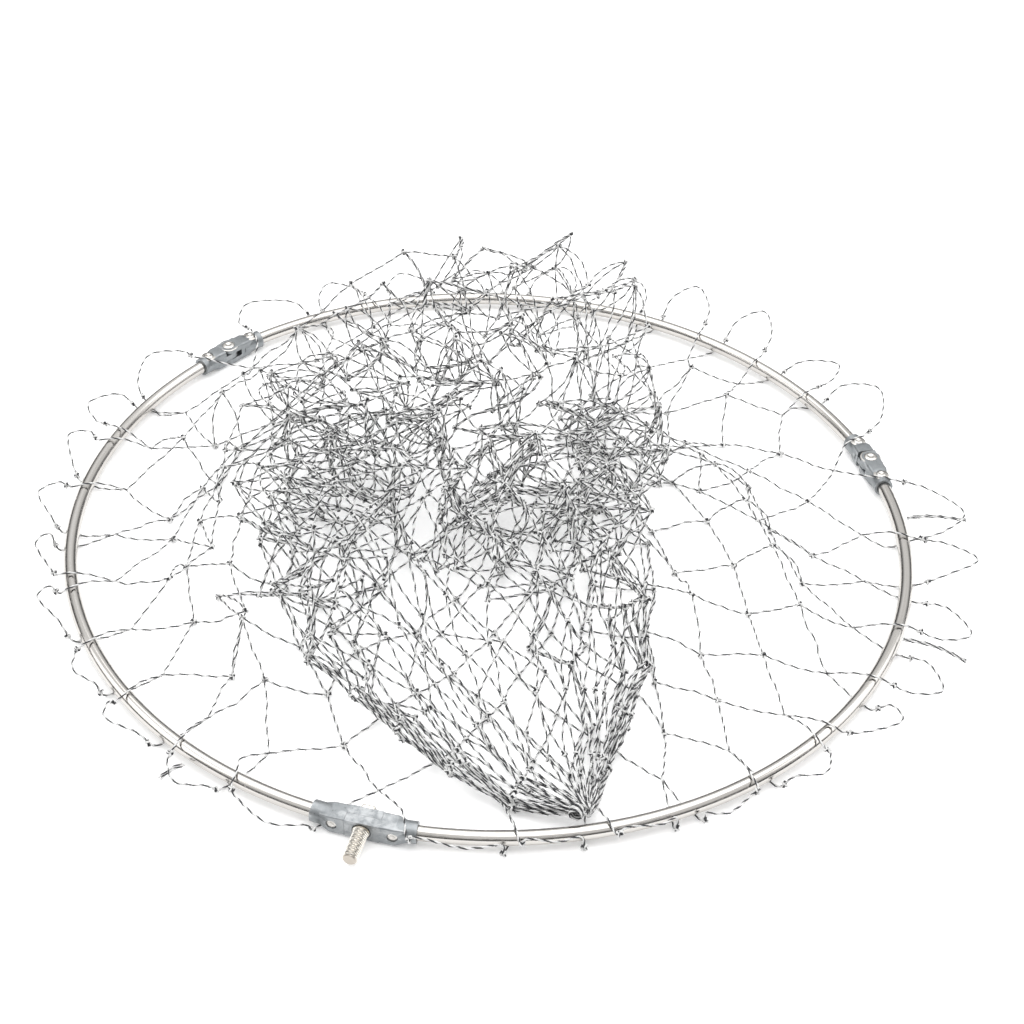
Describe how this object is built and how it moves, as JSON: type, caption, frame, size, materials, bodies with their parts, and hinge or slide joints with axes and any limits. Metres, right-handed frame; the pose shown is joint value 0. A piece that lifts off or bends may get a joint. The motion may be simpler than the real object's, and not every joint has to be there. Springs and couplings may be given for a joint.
{
  "type": "folding hoop net",
  "caption": "Folding hoop net head: tube hoop in three arcs on riveted hinges, front lap joint with a threaded handle stud, and a knotted mesh bag laced on, heaped inside.",
  "frame": {"origin": "on the handle stud's axis, where its thread meets the shoulder, 0.3 mm in front of the front lap joint", "axes": "-Y along the stud, outwards; +Z square to the hoop's plane, up as it lies; +X to the right seen from the handle"},
  "size_m": [0.5366, 0.5379, 0.1048],
  "materials": {
    "tube": "polished stainless steel tube, fine lengthwise drawing marks",
    "connector": "die-cast zinc, fine grain, satin",
    "rivet": "bright tumbled steel",
    "stud": "stainless steel, rolled thread",
    "netting": "twisted twine of one white and one black yarn, knotted"
  },
  "bodies": {
    "rear_arc": {"rear_arc_tube": "tube", "left_hinge_clevis": "connector", "left_pivot_rivet": "rivet", "left_clevis_rivet": "rivet", "right_hinge_tongue": "connector", "right_tongue_rivet": "rivet", "net_bag": "netting", "bag_end_tie": "netting", "rear_loops": "netting"},
    "left_arc": {"left_arc_tube": "tube", "left_hinge_tongue": "connector", "left_tongue_rivet": "rivet", "inner_lap_socket": "connector", "left_socket_rivet": "rivet", "handle_stud": "stud", "left_loops": "netting"},
    "right_arc": {"right_arc_tube": "tube", "right_hinge_clevis": "connector", "right_pivot_rivet": "rivet", "right_clevis_rivet": "rivet", "outer_lap_socket": "connector", "right_socket_rivet": "rivet", "right_loops": "netting"}
  },
  "joints": [
    {"name": "left_fold", "type": "hinge", "parent": "rear_arc", "child": "left_arc", "pos_m": [-0.21304, 0.3748, 0], "axis": [-0.0227, -0.0393, 0.999], "range_deg": [0, 55], "deforming": ["net_bag", "bag_end_tie", "left_loops"]},
    {"name": "right_fold", "type": "hinge", "parent": "rear_arc", "child": "right_arc", "pos_m": [0.21304, 0.3748, 0], "axis": [0, 0, -1], "range_deg": [0, 55], "deforming": ["rear_loops", "right_loops"]}
  ]
}
